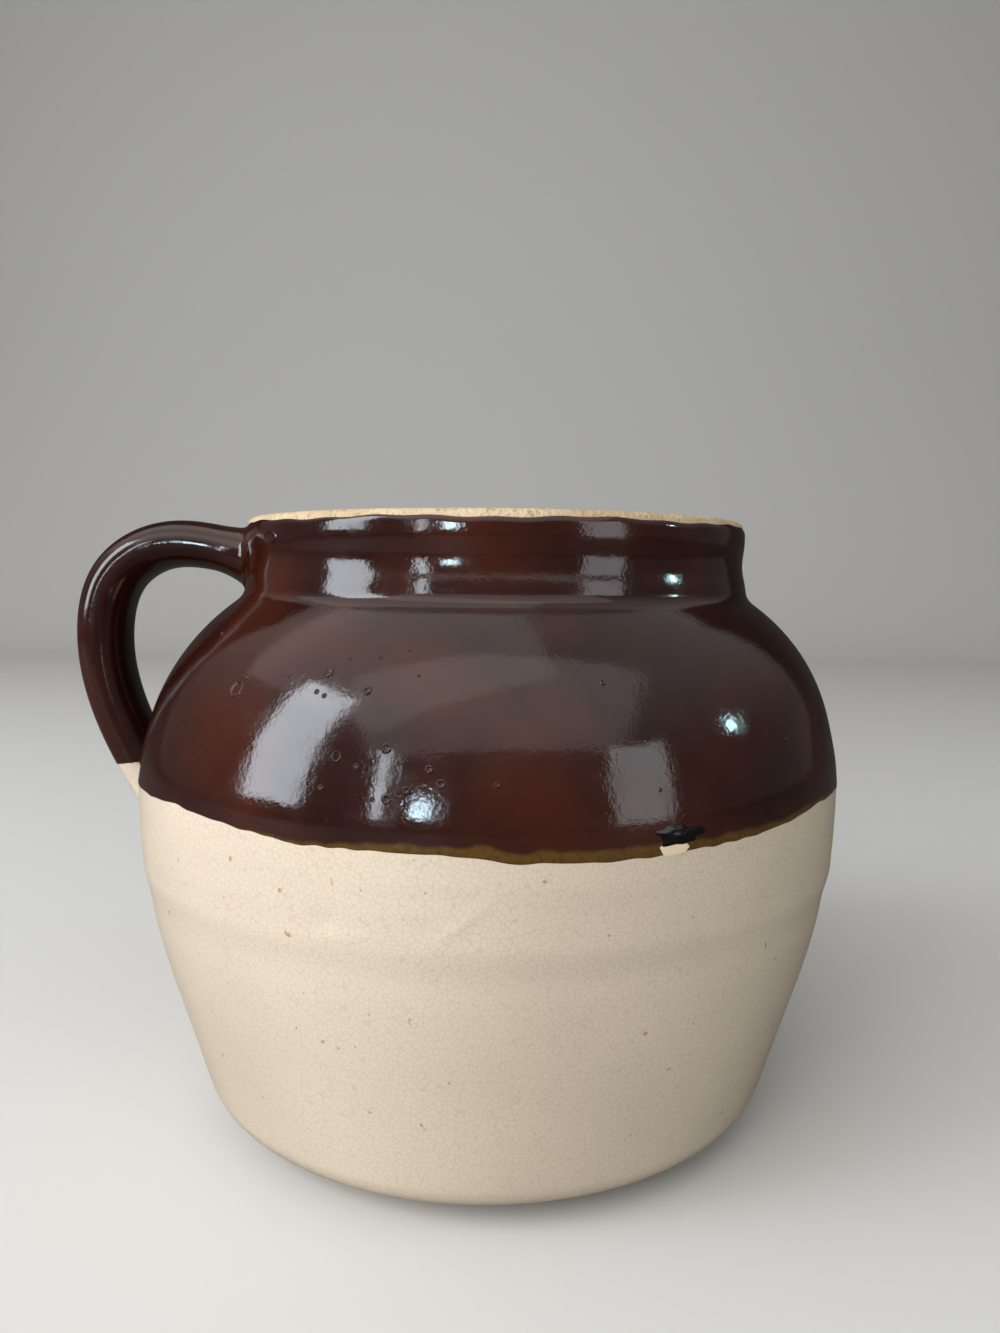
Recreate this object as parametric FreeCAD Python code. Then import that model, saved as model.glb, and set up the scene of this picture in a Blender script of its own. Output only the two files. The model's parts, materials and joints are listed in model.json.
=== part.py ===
# Stoneware bean pot, as its potter puts it together: a moulded lower bowl, a thrown upper
# half with its collar, a pulled strap handle, the slip that joins them, and the glaze coats.
# Millimetres and degrees, +Z up. The origin is on the pot's axis at the plane that it stands
# on, and the handle points along -X.

import FreeCAD
import Part

import math
import os

# The widest place of the clay
girth_radius = 101.5
girth_height = 98.0

# Clay wall, outside. An inset is how far a place lies inside the girth's radius, and a lean is
# the wall's angle outwards from upright there.
heel_inset = 17.4
heel_height = 13.7
heel_lean = 16.7
foot_inset = 37.5
foot_lean = 60.0
seam_inset = 1.4
seam_drop = 23.5
seam_lean = 8.5
shoulder_inset = 3.7
shoulder_rise = 20.0
shoulder_lean = -17.0
neck_rise = 52.0
neck_lean = -40.4

# Collar. Its radii are set from the mouth, which takes a lid's ring.
mouth_radius = 65.1
mouth_length = 17.0
collar_height = 22.0
neck_root_outset = 10.9
collar_foot_outset = 8.3
collar_foot_rise = 4.0
collar_foot_lean = -5.7
waist_outset = 7.1
waist_drop = 7.8
lip_outset = 7.6
lip_rounding = 2.0

# Clay thickness
wall = 6.6
floor = 9.0

# Glaze coats. The brown one goes on last and is the thicker.
brown_coat = 0.5
cream_coat = 0.4
lining_coat = 0.4
dip_below_girth = 0.5
bare_lip = 1.9
bare_foot = 2.6

# Handle: an oval strap. Its middle line leaves the collar, rises to a crest, bends down
# outside the girth and runs into the belly.
handle_thickness = 12.6
handle_width = 23.5
root_bite = 4.0
root_drop = 11.8
crest_out = 13.4
crest_drop = 7.6
bend_out = 40.4
bend_drop = 16.0
loop_out = 17.3
lower_bend_out = 12.4
lower_bend_rise = 17.0
tail_out = 2.6
tail_drop = 2.5
tail_bite = 4.5
tail_end_drop = 14.0

# The strap thickens towards both roots, and widens towards the collar
root_flare = 4.2
root_widening = 3.4
root_flare_share = 0.13
tail_flare = 1.2
tail_flare_share = 0.2
crest_swelling = 0.5
crest_share = 0.38
crest_spread = 0.2

# Slip smoothed round the handle's two roots
root_slip_length = 8.9
root_slip_spread = 4.5
tail_slip_length = 4.2
tail_slip_spread = 2.5
slip_edge = 0.9
slip_steps = 4

# Where things come out
foot_radius = girth_radius - foot_inset
heel_radius = girth_radius - heel_inset
seam_radius = girth_radius - seam_inset
seam_height = girth_height - seam_drop
shoulder_radius = girth_radius - shoulder_inset
shoulder_height = girth_height + shoulder_rise
neck_height = girth_height + neck_rise
neck_root_radius = mouth_radius + neck_root_outset
collar_foot_radius = mouth_radius + collar_foot_outset
waist_radius = mouth_radius + waist_outset
lip_radius = mouth_radius + lip_outset
rim_height = neck_height + collar_height
mouth_foot_height = rim_height - mouth_length
glazed_top = rim_height - bare_lip
dip_height = girth_height - dip_below_girth


def point(radius, height):
    """A point of the pot's profile, in the XZ plane."""
    return FreeCAD.Vector(radius, 0, height)


def heading(lean):
    """The unit direction of a wall that leans outwards from upright by some degrees."""
    return point(math.sin(math.radians(lean)), math.cos(math.radians(lean)))


def outward(way):
    """The unit direction square to a wall's direction, out of the clay."""
    return point(way.z, -way.x)


def line(start, end):
    """A straight edge."""
    return Part.LineSegment(start, end).toShape()


def arc(start, way, end):
    """The circular edge that leaves the start in the given direction and reaches the end."""
    chord = end - start
    sideways = chord.dot(outward(way))
    if abs(sideways) < 1e-6:
        return line(start, end)
    centre = start + outward(way) * (chord.dot(chord) / (2 * sideways))
    middle = (start - centre) + (end - centre)
    middle.normalize()
    return Part.Arc(start, centre + middle * start.distanceToPoint(centre), end).toShape()


def two_arcs(low, low_lean, high, high_lean, out):
    """Two arcs that meet smoothly between two places of a wall, moved outwards by a distance."""
    start_way = heading(low_lean)
    end_way = heading(high_lean)
    chord = high - low
    both = start_way + end_way
    turn = 2 * (1 - start_way.dot(end_way))
    along = chord.dot(both)
    if turn < 1e-9:
        reach = chord.dot(chord) / (2 * along)
    else:
        reach = (math.sqrt(along * along + turn * chord.dot(chord)) - along) / turn
    first = low + start_way * reach
    last = high - end_way * reach
    meeting = (first + last) * 0.5
    way = last - first
    way.normalize()
    low_moved = low + outward(start_way) * out
    meeting_moved = meeting + outward(way) * out
    high_moved = high + outward(end_way) * out
    return [arc(low_moved, start_way, meeting_moved), arc(meeting_moved, way, high_moved)]


def wall_edges(places, out):
    """The edges of a wall through its places, each a point and a lean, moved outwards."""
    edges = []
    for (low, low_lean), (high, high_lean) in zip(places, places[1:]):
        edges += two_arcs(low, low_lean, high, high_lean, out)
    return edges


def outside_places():
    """The places that the clay's outside goes through, from the foot's edge to the lip."""
    return [
        (point(foot_radius, 0), foot_lean),
        (point(heel_radius, heel_height), heel_lean),
        (point(seam_radius, seam_height), seam_lean),
        (point(girth_radius, girth_height), 0),
        (point(shoulder_radius, shoulder_height), shoulder_lean),
        (point(neck_root_radius, neck_height), neck_lean),
        (point(collar_foot_radius, neck_height + collar_foot_rise), collar_foot_lean),
        (point(waist_radius, rim_height - waist_drop), 0),
        (point(lip_radius, rim_height - lip_rounding), 0),
    ]


def inside_places():
    """The places that the clay's inside goes through, from the floor's edge to the mouth."""
    heel_gain = wall * math.tan(math.radians(heel_lean))
    return [
        (point(foot_radius - wall, floor), 90),
        (point(heel_radius + heel_gain - wall, heel_height + wall), heel_lean),
        (point(seam_radius - wall, seam_height), seam_lean),
        (point(girth_radius - wall, girth_height), 0),
        (point(shoulder_radius - wall, shoulder_height - wall / 4), shoulder_lean),
        (point(mouth_radius + wall, neck_height - wall / 2), neck_lean),
        (point(mouth_radius, mouth_foot_height), 0),
    ]


def turned(edges):
    """A solid from a closed profile, turned once round the pot's axis."""
    face = Part.Face(Part.Wire(Part.sortEdges(edges)[0]))
    return face.revolve(FreeCAD.Vector(0, 0, 0), FreeCAD.Vector(0, 0, 1), 360)


def filled_pot(coat):
    """The pot's outside as a full solid without a hollow, grown by a coat, with its top rounded."""
    edges = wall_edges(outside_places(), coat)
    start = edges[0].Vertexes[0].Point
    lip = point(lip_radius + coat, rim_height - lip_rounding)
    lip_top = point(lip_radius - lip_rounding, rim_height + coat)
    edges.append(arc(lip, heading(0), lip_top))
    edges.append(line(lip_top, point(0, rim_height + coat)))
    edges.append(line(point(0, rim_height + coat), point(0, start.z)))
    edges.append(line(point(0, start.z), start))
    return turned(edges)


def hollow(coat):
    """The space inside the clay, up through the mouth, less a coat on the clay."""
    edges = wall_edges(inside_places(), -coat)
    top = point(mouth_radius - coat, rim_height)
    start = edges[0].Vertexes[0].Point
    edges.append(line(edges[-1].Vertexes[1].Point, top))
    edges.append(line(top, point(0, rim_height)))
    edges.append(line(point(0, rim_height), point(0, start.z)))
    edges.append(line(point(0, start.z), start))
    return turned(edges)


def slab(low, high):
    """A disc wider than the pot between two heights, to part things at a level."""
    reach = 2 * (girth_radius + loop_out + handle_width)
    return Part.makeCylinder(reach, high - low, FreeCAD.Vector(0, 0, low))


def handle_line():
    """The strap's middle line, as a smooth curve from inside the collar to inside the belly."""
    crest = rim_height - crest_drop
    bend = rim_height - bend_drop
    lower_bend = girth_height + lower_bend_rise
    places = [
        point(-(collar_foot_radius - root_bite), rim_height - root_drop),
        point(-(collar_foot_radius + crest_out), crest),
        point(-(collar_foot_radius + 2 * crest_out), crest),
        point(-(collar_foot_radius + bend_out), bend),
        point(-(girth_radius + loop_out), (bend + lower_bend) / 2),
        point(-(girth_radius + lower_bend_out), lower_bend),
        point(-(girth_radius + tail_out), girth_height - tail_drop),
        point(-(girth_radius - tail_bite), girth_height - tail_end_drop),
    ]
    middle = Part.BSplineCurve()
    middle.interpolate(places)
    return middle


def strap_section(middle, share, extra):
    """The strap's oval outline, square to its middle line at a share of its length."""
    near_root = max(0, 1 - share / root_flare_share) ** 2
    near_tail = max(0, 1 - (1 - share) / tail_flare_share) ** 2
    near_crest = math.exp(-((share - crest_share) / crest_spread) ** 2)
    swelling = root_flare * near_root + tail_flare * near_tail + crest_swelling * near_crest
    at = middle.parameterAtDistance(share * middle.length(), middle.FirstParameter)
    along = middle.tangent(at)[0]
    across = FreeCAD.Vector(0, 1, 0)
    oval = Part.Ellipse()
    oval.MajorRadius = handle_width / 2 + root_widening * near_root + extra
    oval.MinorRadius = handle_thickness / 2 + swelling + extra
    edge = oval.toShape()
    turn = FreeCAD.Rotation(across, along.cross(across), along, "XYZ")
    edge.Placement = FreeCAD.Placement(middle.value(at), turn)
    return Part.Wire([edge])


def strap(shares, extras):
    """A solid through the strap's sections at shares of its length, each grown by its extra."""
    middle = handle_line()
    sections = [strap_section(middle, share, extra) for share, extra in zip(shares, extras)]
    return Part.makeLoft(sections, True, False)


def buried(middle, clay):
    """Lengths of the strap's middle line that lie inside the clay, at its root and at its tail."""
    hidden = sorted(middle.toShape().common(clay).Edges, key=lambda edge: -edge.CenterOfMass.z)
    return hidden[0].Length, hidden[-1].Length


def whole_strap(extra):
    """The strap from root to tail, grown by a margin all round."""
    shares = [0, 0.06, 0.13, 0.22, 0.33, 0.44, 0.55, 0.67, 0.79, 0.9, 1]
    return strap(shares, [extra] * len(shares))


def slip(start, end):
    """Shares of the length from where the slip starts on the strap to where it ends in the pot."""
    return [start + (end - start) * step / slip_steps for step in range(slip_steps + 1)]


def slip_margins(spread):
    """How far the slip stands off the strap, from its thin start to its full spread."""
    return [slip_edge + spread * (step / slip_steps) ** 2 for step in range(slip_steps + 1)]


def one_solid(shape):
    """The largest solid of a cut, which is the piece itself."""
    return max(shape.Solids, key=lambda solid: solid.Volume)


def main():
    clay = filled_pot(0)
    pot = clay.cut(hollow(0))
    below_seam = slab(-1, seam_height)
    lower_body = one_solid(pot.common(below_seam))
    upper_body = one_solid(pot.cut(below_seam))

    middle = handle_line()
    root_hidden, tail_hidden = buried(middle, clay)
    root_share = (root_hidden + root_slip_length) / middle.length()
    tail_share = 1 - (tail_hidden + tail_slip_length) / middle.length()
    raw_handle = whole_strap(0)
    raw_root_slip = strap(slip(root_share, 0), slip_margins(root_slip_spread)).common(slab(0, glazed_top))
    raw_tail_slip = strap(slip(tail_share, 1), slip_margins(tail_slip_spread))
    handle = one_solid(raw_handle.cut(clay))
    root_slip = one_solid(raw_root_slip.cut(clay).cut(raw_handle))
    tail_slip = one_solid(raw_tail_slip.cut(clay).cut(raw_handle))
    joint = raw_handle.fuse(raw_root_slip).fuse(raw_tail_slip)

    brown_pot = filled_pot(brown_coat)
    brown = one_solid(brown_pot.common(slab(dip_height, glazed_top)).cut(clay).cut(joint))
    cream = one_solid(filled_pot(cream_coat).common(slab(bare_foot, dip_height)).cut(clay).cut(joint))
    handle_coat = whole_strap(brown_coat).cut(joint).cut(brown_pot)
    above_dip = slab(dip_height, rim_height + handle_width)
    handle_brown = one_solid(handle_coat.common(above_dip))
    handle_cream = one_solid(handle_coat.cut(above_dip))
    lining = one_solid(hollow(0).cut(hollow(lining_coat)))

    nodes = {
        "lower_body": lower_body,
        "upper_body": upper_body,
        "handle": handle,
        "handle_upper_luting": root_slip,
        "handle_lower_luting": tail_slip,
        "brown_glaze": brown,
        "cream_glaze": cream,
        "handle_brown_glaze": handle_brown,
        "handle_cream_glaze": handle_cream,
        "lining_glaze": lining,
    }
    os.makedirs("parts", exist_ok=True)
    for name, shape in nodes.items():
        shape.exportStep("parts/" + name + ".step")
        box = shape.BoundBox
        print(name, "solids", len(shape.Solids), "valid", shape.isValid(), "volume", round(shape.Volume),
              "from", round(box.XMin, 1), round(box.YMin, 1), round(box.ZMin, 1),
              "to", round(box.XMax, 1), round(box.YMax, 1), round(box.ZMax, 1))


main()
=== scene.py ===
"""A stoneware bean pot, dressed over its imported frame.

The file is laid out as an add-on: sizes and colours are properties, each group of pieces has an
operator, and a panel in the sidebar lists them. Run as a script, it makes the whole pot. Lengths are
in metres, and in mm where a comment says so.
"""

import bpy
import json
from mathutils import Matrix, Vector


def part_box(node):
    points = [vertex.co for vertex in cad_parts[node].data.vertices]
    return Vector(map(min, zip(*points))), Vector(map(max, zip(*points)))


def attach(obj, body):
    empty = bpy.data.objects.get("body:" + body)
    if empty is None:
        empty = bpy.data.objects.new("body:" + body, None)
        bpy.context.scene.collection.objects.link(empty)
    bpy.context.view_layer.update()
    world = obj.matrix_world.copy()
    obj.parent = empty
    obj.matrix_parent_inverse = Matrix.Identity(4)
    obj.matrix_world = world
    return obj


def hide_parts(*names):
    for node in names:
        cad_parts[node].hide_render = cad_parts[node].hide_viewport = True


bl_info = {
    "name": "Stoneware Bean Pot",
    "version": (1, 0, 0),
    "blender": (4, 5, 0),
    "location": "View3D > Sidebar > Bean Pot",
    "description": "Clay halves, glaze coats, strap handle and studio for a two-colour bean pot",
    "category": "Add Mesh",
}

import json
from math import cos, pi, radians, sin

import bpy
import numpy as np
from bpy.props import FloatProperty, FloatVectorProperty, PointerProperty
from mathutils import Matrix, Vector

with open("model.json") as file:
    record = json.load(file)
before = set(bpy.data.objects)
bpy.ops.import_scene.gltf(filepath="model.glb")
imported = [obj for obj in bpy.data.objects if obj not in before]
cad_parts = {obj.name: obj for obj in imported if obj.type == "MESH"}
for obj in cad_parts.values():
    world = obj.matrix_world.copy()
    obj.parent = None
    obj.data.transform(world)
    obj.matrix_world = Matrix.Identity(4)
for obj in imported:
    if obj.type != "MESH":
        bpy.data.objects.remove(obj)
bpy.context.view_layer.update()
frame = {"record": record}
MM = 0.001
MOUTH = next(mount for mount in frame["record"]["mounts"] if mount["name"] == "mouth")
RIM_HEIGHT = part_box("upper_body")[1].z
GIRTH_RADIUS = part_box("upper_body")[1].x
SEAM_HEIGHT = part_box("upper_body")[0].z
DIP_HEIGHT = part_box("brown_glaze")[0].z

# Leans of the wall outwards from upright
FOOT_LEAN, HEEL_LEAN, SEAM_LEAN, SHOULDER_LEAN = 60.0, 16.7, 8.5, -17.0
NECK_LEAN, INNER_NECK_LEAN, COLLAR_LEAN = -54.0, -40.4, -7.0
# Heights over the girth and the neck, and under the lip's top
SHOULDER_RISE, COLLAR_RISE = 20 * MM, 4 * MM
WAIST_DROP, BAND_DROP, BAND_TOP_DROP = 12 * MM, 8.7 * MM, 6.4 * MM
# Size of the bevel at the mouth's inner corner
MOUTH_CORNER = 0.6 * MM
# Where a turned profile starts, and the radius from which its wobble is whole
AXIS_GAP, CALM_RADIUS = 0.5 * MM, 50 * MM
# How far inside the clay a coat's back lies
SUNK = 0.1 * MM
# Angle from which an edge shows
SHARP_ANGLE = radians(50)


def length(description, default):
    """A size property in metres."""
    return FloatProperty(description=description, default=default, unit="LENGTH", precision=5)


def paint(description, default):
    """A colour property."""
    return FloatVectorProperty(description=description, default=default, subtype="COLOR", min=0, max=1)


class PotSizes(bpy.types.PropertyGroup):
    """Sizes of the clay, from the axis and the standing plane."""

    foot_radius: length("Edge of the flat foot", 64 * MM)
    heel_radius: length("Clay radius at the top of the rounded heel", 84.1 * MM)
    heel_height: length("Height of the top of the rounded heel", 13.7 * MM)
    seam_radius: length("Clay radius where the two halves meet", 100.1 * MM)
    seam_height: length("Height where the two halves meet", SEAM_HEIGHT)
    girth_radius: length("Largest clay radius", GIRTH_RADIUS)
    girth_height: length("Height of the largest radius", 98 * MM)
    shoulder_radius: length("Clay radius where the belly turns in", 97.8 * MM)
    neck_radius: length("Clay radius in the groove under the collar", 76.0 * MM)
    neck_height: length("Height of the groove under the collar", 148.2 * MM)
    collar_radius: length("Clay radius at the foot of the collar", 73.4 * MM)
    waist_radius: length("Clay radius in the hollow of the collar", 72.2 * MM)
    lip_radius: length("Clay radius at the lip", 72.7 * MM)
    lip_rounding: length("Radius of the lip's outer corner", 2 * MM)
    rim_height: length("Height of the lip's top", RIM_HEIGHT)
    mouth_radius: length("Clay radius of the mouth", (MOUTH["dims"]["r_mm"] + 0.4) * MM)
    mouth_length: length("Length of the straight mouth", MOUTH["dims"]["length_mm"] * MM)
    wall: length("Thickness of the clay", 6.6 * MM)
    floor: length("Thickness of the floor", 9 * MM)
    lean: length("How far the collar sits off the belly's axis", 1.6 * MM)


class GlazeSizes(bpy.types.PropertyGroup):
    """Thicknesses and edges of the glaze coats."""

    brown: length("Thickness of the brown coat", 0.5 * MM)
    cream: length("Thickness of the cream coat", 0.4 * MM)
    lining: length("Thickness of the coat inside", 0.4 * MM)
    dip_height: length("Mean height of the brown coat's lower edge", DIP_HEIGHT)
    dip_wave: length("How far the dip line wanders for each step of its table", 1 * MM)
    bare_lip: length("How far under the top the brown coat stops", 1.9 * MM)
    bare_foot: length("How far above the foot the cream coat stops", 2.6 * MM)
    roll: length("Extra thickness of the brown coat just above its edge", 0.06 * MM)


class StrapSizes(bpy.types.PropertyGroup):
    """Sizes of the strap handle and of the slip round its roots."""

    thickness: length("Strap thickness in its middle stretch", 12.6 * MM)
    width: length("Strap width", 23.5 * MM)
    root_flare: length("Extra half thickness at the collar", 4.2 * MM)
    root_widening: length("Extra half width at the collar", 3.4 * MM)
    tail_flare: length("Extra half thickness at the belly", 1.2 * MM)
    slip: length("Reach of the smoothed slip round the roots", 4 * MM)
    dip_height: length("Height of the brown coat's lower edge on the strap", 99.5 * MM)


class PotColours(bpy.types.PropertyGroup):
    """Colours of the clay, the glazes and the floor."""

    brown_deep: paint("Thick brown glaze", (0.016, 0.0034, 0.0021))
    brown_warm: paint("Thinner brown glaze", (0.040, 0.0080, 0.0036))
    amber: paint("Brown glaze where it thins out at the dip line", (0.088, 0.043, 0.007))
    cream: paint("Cream glaze", (0.60, 0.50, 0.385))
    cream_shade: paint("Greyer patches of the cream glaze", (0.52, 0.435, 0.34))
    craze: paint("Stain in the fine cracks", (0.30, 0.215, 0.14))
    clay: paint("Fired clay without glaze", (0.58, 0.45, 0.29))
    clay_dark: paint("Darker grains of the bare clay", (0.30, 0.19, 0.09))
    floor: paint("Studio floor", (0.62, 0.61, 0.59))


# Profiles of the clay


def heading(lean):
    """Unit direction of a wall that leans outwards from upright by some degrees."""
    return np.array([sin(radians(lean)), cos(radians(lean))])


def outward(way):
    """Unit direction square to a wall's direction, out of the clay."""
    return np.array([way[1], -way[0]])


def arc(start, way, end, count):
    """Points of the circle's arc that leaves the start in a direction and reaches the end: its radius
    is the chord's square over twice the end's distance sideways."""
    chord = end - start
    sideways = chord @ outward(way)
    share = np.linspace(0, 1, count)
    if abs(sideways) < 1e-9:
        return start + chord * share[:, None]
    radius = chord @ chord / (2 * sideways)
    centre = start + outward(way) * radius
    first = np.arctan2(*(start - centre)[::-1])
    last = np.arctan2(*(end - centre)[::-1])
    turn = first + ((last - first + pi) % (2 * pi) - pi) * share
    return centre + abs(radius) * np.column_stack([np.cos(turn), np.sin(turn)])


def wall_path(places, count=60):
    """Close points of a wall through its places (radius, height, lean). Between two places stand two
    arcs, each with equal tangents, whose corners lie one reach from the places."""
    path = []
    for low, high in zip(places, places[1:]):
        start, end = np.array(low[:2]), np.array(high[:2])
        start_way, end_way = heading(low[2]), heading(high[2])
        chord = end - start
        turn = 2 * (1 - start_way @ end_way)
        along = chord @ (start_way + end_way)
        if turn < 1e-9:
            reach = chord @ chord / (2 * along)
        else:
            reach = (np.sqrt(along**2 + turn * (chord @ chord)) - along) / turn
        first = start + start_way * reach
        last = end - end_way * reach
        meeting = (first + last) / 2
        way = (last - first) / np.linalg.norm(last - first)
        path.append(arc(start, start_way, meeting, count)[:-1])
        path.append(arc(meeting, way, end, count)[:-1])
    return np.vstack(path + [end])


def outside(s):
    """The clay's outside as close points (radius, height), from the foot's edge over the heel, the
    wall and the lip's rounded corner to the mouth."""
    places = [
        (s.foot_radius, 0.0, FOOT_LEAN),
        (s.heel_radius, s.heel_height, HEEL_LEAN),
        (s.seam_radius, s.seam_height, SEAM_LEAN),
        (s.girth_radius, s.girth_height, 0.0),
        (s.shoulder_radius, s.girth_height + SHOULDER_RISE, SHOULDER_LEAN),
        (s.neck_radius, s.neck_height, NECK_LEAN),
        (s.collar_radius, s.neck_height + COLLAR_RISE, COLLAR_LEAN),
        (s.waist_radius, s.rim_height - WAIST_DROP, 0.0),
        (s.waist_radius + 0.25 * MM, s.rim_height - BAND_DROP, 8.0),
        (s.lip_radius, s.rim_height - BAND_TOP_DROP, 4.0),
        (s.lip_radius, s.rim_height - s.lip_rounding, 0.0),
    ]
    crest = np.array([s.lip_radius - s.lip_rounding, s.rim_height])
    lip = arc(np.array(places[-1][:2]), heading(0), crest, 24)
    top = np.linspace(lip[-1], (s.mouth_radius + MOUTH_CORNER, s.rim_height), 12)
    return np.vstack([wall_path(places), lip[1:], top[1:]])


def inside(s, coat=0.0):
    """The clay's inside as close points, from the middle of the floor up to the mouth, moved into
    the hollow by a coat's thickness."""
    heel_gain = s.wall * np.tan(radians(HEEL_LEAN))
    places = [
        (s.foot_radius - s.wall, s.floor, 90.0),
        (s.heel_radius + heel_gain - s.wall, s.heel_height + s.wall, HEEL_LEAN),
        (s.seam_radius - s.wall, s.seam_height, SEAM_LEAN),
        (s.girth_radius - s.wall, s.girth_height, 0.0),
        (s.shoulder_radius - s.wall, s.girth_height + SHOULDER_RISE - s.wall / 4, SHOULDER_LEAN),
        (s.mouth_radius + s.wall, s.neck_height - s.wall / 2, INNER_NECK_LEAN),
        (s.mouth_radius, s.rim_height - s.mouth_length, 0.0),
    ]
    flat = np.linspace((AXIS_GAP, s.floor), places[0][:2], 40)
    mouth = np.linspace(places[-1][:2], (s.mouth_radius, s.rim_height), 31)
    path = np.vstack([flat[:-1], wall_path(places), mouth[1:]])
    return path - coat * normals(path)


def directions(path):
    """Unit direction of a path at each of its points."""
    along = np.gradient(path, axis=0)
    return along / (np.linalg.norm(along, axis=1)[:, None] + 1e-12)


def normals(path):
    """Unit normals of a path of (radius, height) points, to the right of its way."""
    along = directions(path)
    return np.column_stack([along[:, 1], -along[:, 0]])


def distances(path):
    """Distance along a path up to each of its points."""
    steps = np.linalg.norm(np.diff(path, axis=0), axis=1)
    return np.concatenate([[0], np.cumsum(steps)])


def thinned(path, count):
    """The same path with fewer points, evenly spaced along it."""
    d = distances(path)
    at = np.linspace(0, d[-1], count)
    return np.column_stack([np.interp(at, d, path[:, 0]), np.interp(at, d, path[:, 1])])


def between(path, low, high):
    """The part of a rising path between two heights."""
    keep = (path[:, 1] >= low - 1e-9) & (path[:, 1] <= high + 1e-9)
    return path[keep]


class Wall:
    """The clay's outside path, its normals, the distance along it, and its heights, made to rise
    everywhere."""

    def __init__(self, s):
        self.path = outside(s)
        self.out = normals(self.path)
        self.far = distances(self.path)
        self.rising = np.maximum.accumulate(self.path[:, 1]) + 1e-9 * np.arange(len(self.path))

    def reach(self, z):
        """Distance along the path at a height."""
        return np.interp(z, self.rising, self.far)

    def raised(self, at, lift):
        """Radius and height at a distance along the path, moved along the normal by a lift."""
        start = [np.interp(at, self.far, self.path[:, k]) for k in (0, 1)]
        way = [np.interp(at, self.far, self.out[:, k]) for k in (0, 1)]
        return start[0] + lift * way[0], start[1] + lift * way[1]


def lean_at(z, s):
    """Sideways shift of the hand-set collar: none at the girth, full from the neck up, and a smooth
    step of the share of that height between."""
    t = np.clip((z - s.girth_height) / (s.neck_height - s.girth_height), 0, 1)
    return s.lean * t * t * (3 - 2 * t)


def from_front(angle):
    """Degrees from straight in front, positive to the right."""
    return np.degrees((angle + 1.5 * pi) % (2 * pi) - pi)


def full_turn(count):
    """Angles evenly spaced round a full turn, as one row."""
    return np.linspace(0, 2 * pi, count, endpoint=False)[None, :]


def bell(x, middle, width):
    """A bell curve: the exponential of minus the square of the offset over its half width."""
    return np.exp(-(((x - middle) / width) ** 2))


# Marks of the hand on the lower half: a diagonal smear, a dent, and soft swells above the joint. Each
# is degrees from the front, height, half width, half height, slant and rise, in mm at HAND_RADIUS
HAND_MARKS = [
    (-2.8, 82.5, 6.0, 1.1, 0.85, 0.30),
    (-19.7, 81.9, 2.6, 2.6, 0.0, -0.40),
    (-17.2, 78.6, 7.0, 1.2, 0.1, 0.16),
    (12.0, 84.5, 30.0, 2.2, 0.02, -0.16),
    (4.0, 90.5, 40.0, 2.0, -0.02, 0.14),
    (38.0, 88.0, 12.0, 2.5, 0.1, 0.15),
]
HAND_RADIUS = 100
# A ridge and a groove round the joint of the halves: height, half width and rise in mm
JOINT_RIDGES = [(76.5, 3.5, 0.26), (69.0, 4.0, -0.20)]


def hand_marks(angle, up):
    """Height in mm of the marks of the hand: for each, the product of the bell curves of the offset
    across and of the offset up, less the slant."""
    total = 0.0
    for front, height, wide, tall, slant, rise in HAND_MARKS:
        across = np.radians(from_front(angle) - front) * HAND_RADIUS
        total = total + rise * bell(across, 0, wide) * bell(up - slant * across, height, tall)
    return total


def wobble(angle, z):
    """Hand-made unevenness of the wall: slow sines of angle and height, 0.32 mm at most, the ridge
    and groove at the joint, fine rings above it, and the marks of the hand."""
    up = z / MM
    slow = 0.16 * np.sin(2 * angle + 0.7) + 0.06 * np.sin(7 * angle + 1.3)
    slow = slow + 0.10 * np.sin(3 * angle + up / 50)
    joint = sum(rise * bell(up, height, width) for height, width, rise in JOINT_RIDGES)
    rings = 0.05 * np.sin(up / 1.6 + 0.8 * np.sin(angle)) * bell(up, 84, 8)
    return (slow + joint * (1 + 0.3 * np.sin(angle + 2)) + rings + hand_marks(angle, up)) * MM


def placed(angle, path_r, path_z, s):
    """Points in space for profile points (radius, height) turned to each angle: the wobble is added
    to the radius, less near the axis, and the collar's shift to x."""
    r = path_r + wobble(angle, path_z) * np.clip(path_r / CALM_RADIUS, 0, 1)
    x = r * np.cos(angle) + lean_at(path_z, s)
    return np.stack([x, r * np.sin(angle), path_z + 0 * angle], axis=-1)


# Meshes


def signed_volume(points, faces):
    """Volume inside the faces, negative when they point inwards: a sum over a fan of each face."""
    corners = points[faces]
    first = np.einsum("ij,ij->i", corners[:, 0], np.cross(corners[:, 1], corners[:, 2]))
    second = np.einsum("ij,ij->i", corners[:, 0], np.cross(corners[:, 2], corners[:, -1]))
    return (first + second).sum() / 6


def grid_faces(rows, columns, wrap_rows, wrap_columns):
    """Quads between neighbours of a grid of points numbered row by row."""
    row = np.arange(rows if wrap_rows else rows - 1)[:, None]
    column = np.arange(columns if wrap_columns else columns - 1)[None, :]
    next_row = (row + 1) % rows
    next_column = (column + 1) % columns
    corners = [row * columns + column, row * columns + next_column, next_row * columns + next_column]
    corners.append(next_row * columns + column)
    return np.stack([c.ravel() for c in corners], axis=-1)


def fan(ring, tip):
    """Triangles from each edge of a ring of points to a tip, written as quads that repeat it."""
    onward = np.roll(ring, -1)
    return np.stack([ring, onward, np.full_like(ring, tip), np.full_like(ring, tip)], axis=-1)


def ringed(grid):
    """Points and faces of a grid that closes both ways."""
    return grid.reshape(-1, 3), grid_faces(*grid.shape[:2], True, True)


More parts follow.
